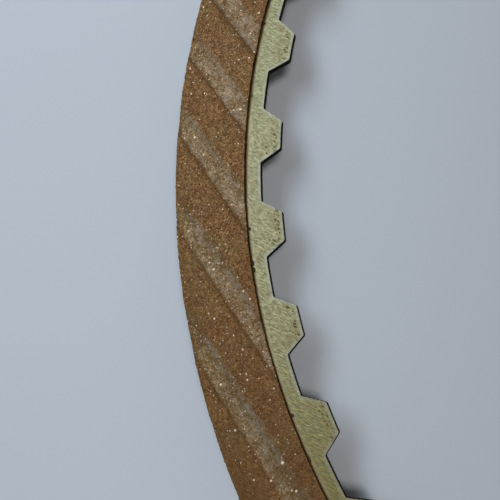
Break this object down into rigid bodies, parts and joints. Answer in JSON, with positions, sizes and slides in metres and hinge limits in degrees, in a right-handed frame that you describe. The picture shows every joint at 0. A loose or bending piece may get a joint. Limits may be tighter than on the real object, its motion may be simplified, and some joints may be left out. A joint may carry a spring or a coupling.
{
  "type": "clutch friction plate",
  "caption": "Thin ring-shaped clutch friction plate: a steel core with internal spline teeth between two paper friction linings with straight parallel oil grooves.",
  "frame": {"origin": "on the plate's axis, halfway through its thickness", "axes": "+Z along the plate's axis, out of the upper friction face; +X through the middle of one spline tooth"},
  "size_m": [0.1603, 0.1602, 0.002],
  "materials": {
    "core_steel": "dull grey-green cold-rolled steel, mottled, with paler punched edges",
    "friction_paper": "matte brown compressed fibre with fine pale flecks, paler in the grooves"
  },
  "bodies": {
    "root": {"core_plate": "core_steel", "upper_lining": "friction_paper", "lower_lining": "friction_paper"}
  },
  "joints": []
}
